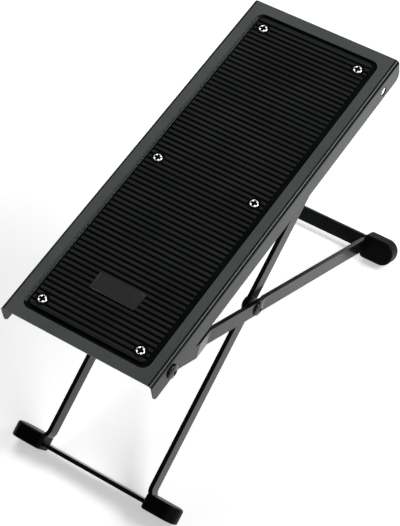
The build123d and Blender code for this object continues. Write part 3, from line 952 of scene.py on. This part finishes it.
def bent_leg(shape, outline, radii, bars):
    """Bends flat bar along its outer face, given as (across, along) points. The first end is round."""
    points = [Vector((across, along, 0.0)) for across, along in outline]
    half, tip, round_steps = bars.width / 2, 0.0005, 10
    start = points[0] - Vector((0.0, half, 0.0))
    row = open_line(shape, [start - Vector((0.0, 0.0, tip)), start + Vector((0.0, 0.0, tip))])[2:]
    for step in range(1, round_steps + 1):
        turn = step / round_steps * pi / 2
        along, side = points[0].y - half * cos(turn), half * sin(turn)
        row = extend(shape, row, lambda spot: Vector((spot.x, along, copysign(side, spot.z))))
    spare = 0.0
    for before, corner, after, radius in zip(points, points[1:], points[2:], radii):
        heading = (corner - before).normalized()
        turn = -heading.xy.angle_signed((after - corner).xy)
        used, spare = spare, radius * tan(abs(turn) / 2)
        row = pull(shape, row, heading * ((corner - before).length - used - spare))
        inside = Vector((-heading.y, heading.x, 0.0)) * copysign(radius, turn)
        made = bmesh.ops.spin(
            shape, geom=row, cent=corner - heading * spare + inside, axis=(0.0, 0.0, 1.0), angle=turn,
            steps=14 if abs(turn) > 1.0 else 4,
        )
        row = only(BMEdge, made["geom_last"])
    stub = points[-1] - points[-2]
    pull(shape, row, stub - stub.normalized() * spare)
    merge(shape, TOUCH)
    turn_sheet(shape, start, Vector((1.0, 0.0, 0.0)))
    bmesh.ops.solidify(shape, geom=shape.faces[:], thickness=bars.thickness)
    round_edges(shape, sharp_edges(shape), bars.rolled_edge, 3)


class FOOTREST_OT_legs(bpy.types.Operator):
    """Bend the four legs from flat bar"""

    bl_idname = "footrest.legs"
    bl_label = "Legs"

    def execute(self, context):
        (bars,) = sizes_of(context, "bars")
        rear_stub, front_stub = bars.rear_bar - bars.thickness, bars.front_bar - bars.thickness
        rear = (
            (bars.rear_pivot_face, 0.0),
            (bars.rear_pivot_face, bars.joggle_start),
            (bars.rear_front_face, bars.joggle_start + bars.joggle_length),
            (bars.rear_front_face, bars.kink_start),
            (bars.rear_leg_face, bars.kink_start + bars.kink_length),
            (bars.rear_leg_face, rear_stub),
            (bars.rear_reach, rear_stub),
        )
        front = (
            (bars.front_leg_face, -rod_distance),
            (bars.front_leg_face, front_stub),
            (bars.front_reach, front_stub),
        )
        for end, place_matrix, outline, radii in (
            ("rear", rear_axes, rear, (bars.bend,) * 4 + (bars.rear_foot_bend,)),
            ("front", front_axes, front, (bars.front_foot_bend,)),
        ):
            on_both_sides(
                f"{end}_leg_bar", f"{end}_leg", place_matrix, PAINT, f"{end}_frame", bent_leg, outline, radii, bars
            )
        return {"FINISHED"}


def frame_ends(bars):
    """Each frame's end, axes, distance to its crossbar's inner face and reach of its crossbar."""
    return (
        ("rear", rear_axes, bars.rear_bar, bars.rear_reach),
        ("front", front_axes, bars.front_bar, bars.front_reach),
    )


class FOOTREST_OT_crossbars(bpy.types.Operator):
    """Cut the two flat crossbars between the feet"""

    bl_idname = "footrest.crossbars"
    bl_label = "Crossbars"

    def execute(self, context):
        (bars,) = sizes_of(context, "bars")
        for end, place_matrix, distance, reach in frame_ends(bars):
            shape = bmesh.new()
            made = bmesh.ops.create_cube(shape, size=1.0)["verts"]
            bmesh.ops.scale(shape, vec=(2 * reach, bars.thickness, bars.crossbar_width), verts=made)
            bmesh.ops.translate(shape, vec=(0.0, distance + bars.thickness / 2, 0.0), verts=made)
            round_edges(shape, shape.edges[:], bars.crossbar_edge, 3)
            finish_piece(shape, f"{end}_crossbar_bar", place_matrix, PAINT, f"{end}_frame", f"{end}_crossbar")
        return {"FINISHED"}


def foot_cap(shape, feet, inner, top, height):
    """A rubber foot from inner outwards and from top downwards, round at its outer end."""
    corners = rectangle(shape, feet.length, feet.width, Matrix.Translation((feet.length / 2, 0.0, 0.0)))
    ends = sorted(corners, key=lambda vert: vert.co.x)
    round_corners(shape, ends[:2], feet.inner_radius, 4)
    face = round_corners(shape, ends[2:], feet.end_radius, 12)
    thicken(shape, [face], height)
    round_edges(shape, level_sharp_edges(shape), feet.edge, 4)
    upright = Matrix.Translation((inner, top, 0.0)) @ Matrix.Rotation(-pi / 2, 4, "X")
    bmesh.ops.transform(shape, matrix=upright, verts=shape.verts)


class FOOTREST_OT_feet(bpy.types.Operator):
    """Mould the four rubber feet and set them flat on the floor"""

    bl_idname = "footrest.feet"
    bl_label = "Rubber feet"

    def execute(self, context):
        bars, feet = sizes_of(context, "bars", "feet")
        for (end, place_matrix, distance, reach), above in zip(frame_ends(bars), (feet.rear_above, feet.front_above)):
            inner = reach + feet.wall - feet.length
            on_both_sides(
                f"{end}_foot_cap", f"{end}_foot", place_matrix, FOOT_RUBBER, f"{end}_frame",
                foot_cap, feet, inner, distance - above, above + feet.below, on_floor=True,
            )
        return {"FINISHED"}


def rivet(shape, head_face, tail_face, sizes):
    """A rivet whose domed head has a hollow in its middle."""
    crown = head_face + sizes.head_height
    dimple_floor, tail_end = crown - sizes.dimple_depth, tail_face - sizes.tail_height
    lip, wall, chamfer, hollow = 0.02, 0.15, 0.2, 0.5
    profile = [
        (dimple_floor, 0.0),
        (dimple_floor, sizes.dimple * 0.6),
        (crown - wall, sizes.dimple * 0.95),
        (crown - lip, sizes.dimple * 1.15),
        (crown - lip, sizes.dimple * 1.4),
    ]
    flat, rings = radians(20.0), 7
    for step in range(1, rings + 1):
        turn = flat + (pi / 2 - flat) * step / rings
        profile.append((head_face + sizes.head_height * (0.25 + 0.75 * cos(turn) / cos(flat)), sizes.head * sin(turn)))
    profile += [
        (head_face, sizes.head * 0.985),
        (head_face, sizes.shank),
        (tail_face, sizes.shank),
        (tail_face, sizes.tail - chamfer),
        (tail_face - chamfer, sizes.tail),
        (tail_end + 2 * chamfer, sizes.tail),
        (tail_end, sizes.tail - hollow),
        (tail_end, sizes.shank * 0.55),
        (tail_end + hollow, sizes.shank * 0.4),
        (tail_end + hollow, 0.0),
    ]
    lathe(shape, profile)


def disc_ring(shape, start, thickness, outer, inner, edge):
    """A flat ring across the object, with softened edges."""
    end, cut = start + thickness, edge * 0.3
    profile = [
        (start, inner), (start, outer - edge), (start + cut, outer - cut), (start + edge, outer),
        (end - edge, outer), (end - cut, outer - cut), (end, outer - edge), (end, inner), (start, inner),
    ]
    lathe(shape, profile)


class FOOTREST_OT_pivots(bpy.types.Operator):
    """Set the rivets, washers and spacers of the four pivots"""

    bl_idname = "footrest.pivots"
    bl_label = "Pivots"

    def execute(self, context):
        tread, bars, sizes = sizes_of(context, "tread", "bars", "fasteners")
        play, bore = sizes.play, sizes.shank + sizes.play
        tread_tail = bars.rear_pivot_face - bars.thickness - play
        cross_tail = bars.front_leg_face - bars.thickness - play
        washer_edge, spacer_edge = 0.15, 0.4
        tread_pin = (tread.width / 2 + play, tread_tail, sizes)
        cross_pin = (bars.rear_front_face, cross_tail, sizes)
        washer = (bars.rear_pivot_face + play, sizes.washer_thickness, sizes.washer, bore, washer_edge)
        spacer = (bars.front_leg_face + play, sizes.spacer_thickness, sizes.spacer, bore, spacer_edge)
        for name, node, place_matrix, finish, body, build, measures in (
            ("tread_rivet_pin", "tread_rivet", rear_axes, RIVET_PAINT, "tread", rivet, tread_pin),
            ("tread_washer_ring", "tread_washer", rear_axes, ZINC, "tread", disc_ring, washer),
            ("cross_rivet_pin", "cross_rivet", front_axes, RIVET_PAINT, "rear_frame", rivet, cross_pin),
            ("cross_spacer_ring", "cross_spacer", front_axes, ZINC, "front_frame", disc_ring, spacer),
        ):
            on_both_sides(name, node, place_matrix, finish, body, build, *measures)
        return {"FINISHED"}


class FOOTREST_OT_rod(bpy.types.Operator):
    """Fit the lock rod and its push-on clips between the front legs"""

    bl_idname = "footrest.rod"
    bl_label = "Lock rod"

    def execute(self, context):
        bars, sizes = sizes_of(context, "bars", "fasteners")
        place_matrix = front_axes @ Matrix.Translation((0.0, -rod_distance, 0.0))
        end, chamfer, clip_edge = bars.front_leg_face + sizes.rod_overhang, 0.5, 0.3
        shape = bmesh.new()
        profile = [
            (-end, 0.0),
            (-end, sizes.rod - chamfer),
            (-end + chamfer * 0.3, sizes.rod - chamfer * 0.4),
            (-end + chamfer, sizes.rod),
        ]
        lathe(shape, profile + [(-along, radius) for along, radius in reversed(profile)], 40)
        finish_piece(shape, "lock_rod_bar", place_matrix, ZINC, "front_frame", "lock_rod")
        on_both_sides(
            "rod_clip_ring", "rod_clip", place_matrix, ZINC, "front_frame",
            disc_ring, bars.front_leg_face, sizes.clip_thickness, sizes.clip, sizes.rod, clip_edge,
        )
        return {"FINISHED"}


class FOOTREST_OT_racks(bpy.types.Operator):
    """Round the notched height racks under the tray"""

    bl_idname = "footrest.racks"
    bl_label = "Height racks"

    def execute(self, context):
        edge = 0.15
        for side in ("right", "left"):
            node = f"height_rack_{side}"
            shape = bmesh.new()
            shape.from_mesh(frame["nodes"][node].data)
            bmesh.ops.scale(shape, vec=(1.0 / MILLIMETRE,) * 3, verts=shape.verts)
            merge(shape)
            join_flat(shape)
            round_edges(shape, sharp_edges(shape), edge)
            finish_piece(shape, f"height_rack_strip_{side}", Matrix.Scale(MILLIMETRE, 4), PAINT, "tread", node)
        return {"FINISHED"}


class FOOTREST_OT_stage(bpy.types.Operator):
    """Set the pale floor, the soft studio light and the camera"""

    bl_idname = "footrest.stage"
    bl_label = "Stage"

    def execute(self, context):
        stage, look_at = context.scene.footrest_stage, Vector((0.0, 0.0, 0.1))
        shape = bmesh.new()
        bmesh.ops.create_grid(shape, x_segments=8, y_segments=8, size=6.0)
        mesh = bpy.data.meshes.new("studio_floor")
        shape.to_mesh(mesh)
        shape.free()
        mesh.materials.append(material_named(FLOOR))
        add_object("studio_floor", mesh)

        world = bpy.data.worlds.new("Pale surround")
        world.use_nodes = True
        background = world.node_tree.nodes["Background"].inputs
        background["Color"].default_value = (1.0, 1.0, 1.0, 1.0)
        background["Strength"].default_value = stage.sky
        context.scene.world = world
        context.scene.view_settings.view_transform = "Standard"
        for name, spot, width, height, power in (
            ("Top softbox", Vector((-0.78, 0.72, 1.7)), 1.25, 1.25, stage.top),
            ("Key softbox", Vector((1.45, 0.77, 1.5)), 1.3, 0.8, stage.key),
            ("Side softbox", Vector((1.6, -1.0, 1.3)), 2.2, 2.2, stage.side),
        ):
            light = bpy.data.lights.new(name, "AREA")
            light.shape = "RECTANGLE"
            light.size, light.size_y, light.energy = width, height, power
            lamp = add_object(name, light)
            lamp.location = spot
            lamp.rotation_euler = (look_at - spot).to_track_quat("-Z", "Y").to_euler()

        camera = add_object("Camera", bpy.data.cameras.new("Camera"))
        camera.matrix_world = (
            Matrix.Translation(stage.camera)
            @ Matrix.Rotation(stage.azimuth, 4, "Z")
            @ Matrix.Rotation(pi / 2 - stage.elevation, 4, "X")
            @ Matrix.Rotation(stage.roll, 4, "Z")
        )
        camera.data.lens = stage.lens
        camera.data.shift_x = stage.shift_x
        camera.data.shift_y = stage.shift_y
        context.scene.camera = camera
        return {"FINISHED"}


OPERATORS = (
    FOOTREST_OT_finishes,
    FOOTREST_OT_tread,
    FOOTREST_OT_mat,
    FOOTREST_OT_badge,
    FOOTREST_OT_screws,
    FOOTREST_OT_legs,
    FOOTREST_OT_crossbars,
    FOOTREST_OT_feet,
    FOOTREST_OT_pivots,
    FOOTREST_OT_rod,
    FOOTREST_OT_racks,
    FOOTREST_OT_stage,
)

SETTINGS = {
    "footrest_tread": FOOTREST_PG_tread,
    "footrest_mat": FOOTREST_PG_mat,
    "footrest_bars": FOOTREST_PG_bars,
    "footrest_feet": FOOTREST_PG_feet,
    "footrest_fasteners": FOOTREST_PG_fasteners,
    "footrest_finishes": FOOTREST_PG_finishes,
    "footrest_stage": FOOTREST_PG_stage,
}


class FOOTREST_PT_panel(bpy.types.Panel):
    """Lists the footrest's steps and settings in the 3D view's sidebar"""

    bl_idname = "FOOTREST_PT_panel"
    bl_label = "Folding footrest"
    bl_space_type = "VIEW_3D"
    bl_region_type = "UI"
    bl_category = "Footrest"

    def draw(self, context):
        for operator in OPERATORS:
            self.layout.operator(operator.bl_idname)
        for group in SETTINGS:
            settings = getattr(context.scene, group)
            box = self.layout.box()
            for key in own_keys(settings):
                box.prop(settings, key)


CLASSES = (*SETTINGS.values(), *OPERATORS, FOOTREST_PT_panel)


def register():
    for kind in CLASSES:
        bpy.utils.register_class(kind)
    for key, kind in SETTINGS.items():
        setattr(bpy.types.Scene, key, PointerProperty(type=kind))


def unregister():
    for key in SETTINGS:
        delattr(bpy.types.Scene, key)
    for kind in reversed(CLASSES):
        bpy.utils.unregister_class(kind)


def main():
    register()
    for operator in OPERATORS:
        family, step = operator.bl_idname.split(".")
        getattr(getattr(bpy.ops, family), step)()


if __name__ == "__main__":
    main()
